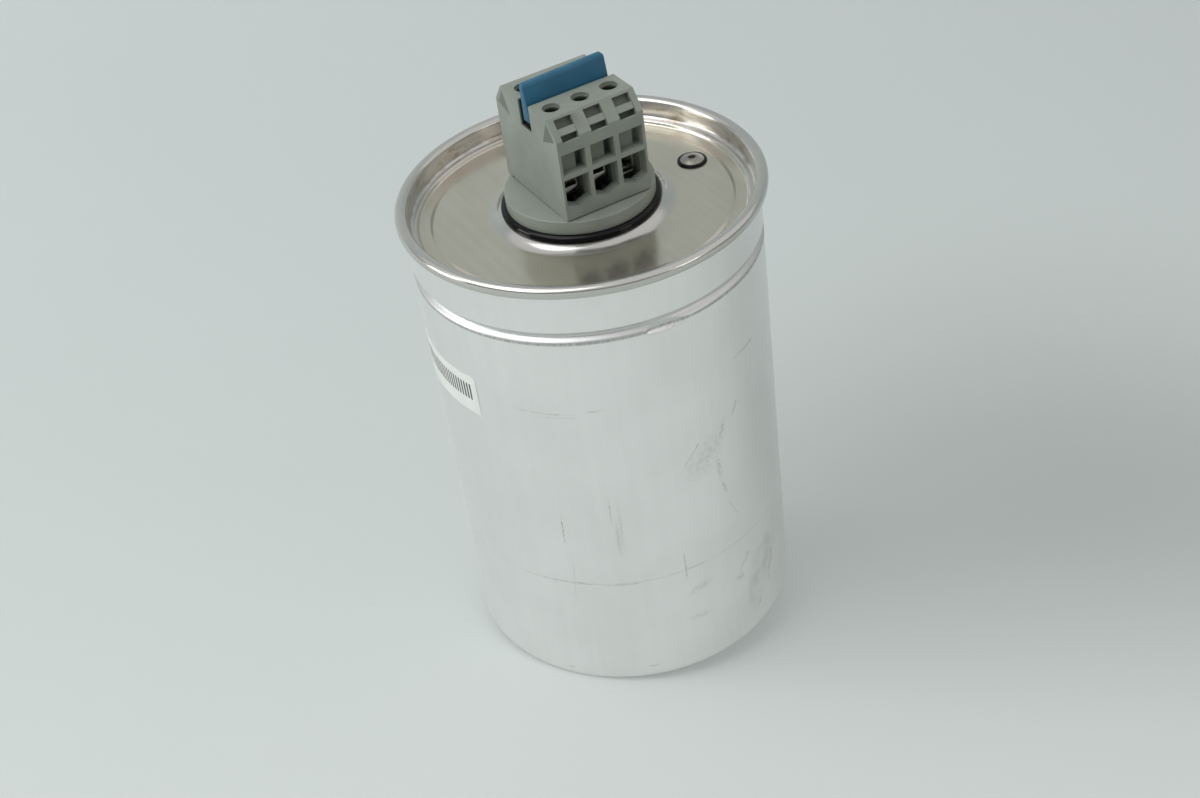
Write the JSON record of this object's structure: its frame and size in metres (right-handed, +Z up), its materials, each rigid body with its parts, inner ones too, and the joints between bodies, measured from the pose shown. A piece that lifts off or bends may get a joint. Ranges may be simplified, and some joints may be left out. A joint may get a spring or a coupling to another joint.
{
  "type": "power factor correction capacitor",
  "caption": "Round aluminium capacitor can with a seamed lid, a base stud and a grey clamp terminal block with a blue divider plate, for power factor correction.",
  "frame": {"origin": "centre of the can's base, where the stud leaves it", "axes": "+Z up the can's axis to the terminal block, -Y out of the front cable entries, +X along the row of poles"},
  "size_m": [0.142, 0.142, 0.2653],
  "materials": {
    "aluminium_can": "satin, drawn, scuffed",
    "tinplate_lid": "bright tinned sheet",
    "black_rubber": "smooth, slightly glossy",
    "grey_plastic": "fine moulded, satin",
    "blue_plastic": "smooth moulded",
    "plated_metal": "nickel plated"
  },
  "bodies": {
    "root": {"can": "aluminium_can", "lid": "tinplate_lid", "base_seal": "black_rubber", "rivet_seal": "black_rubber", "terminal_base": "grey_plastic", "terminal_block": "grey_plastic", "divider_plate": "blue_plastic", "fill_rivet": "plated_metal", "clamp_screws": "plated_metal", "cage_front_left": "plated_metal", "cage_front_mid": "plated_metal", "cage_front_right": "plated_metal", "cage_rear_left": "plated_metal", "cage_rear_mid": "plated_metal", "cage_rear_right": "plated_metal", "contact_bar_left": "plated_metal", "feedthrough_left": "plated_metal", "contact_bar_mid": "plated_metal", "feedthrough_mid": "plated_metal", "contact_bar_right": "plated_metal", "feedthrough_right": "plated_metal"}
  },
  "joints": []
}
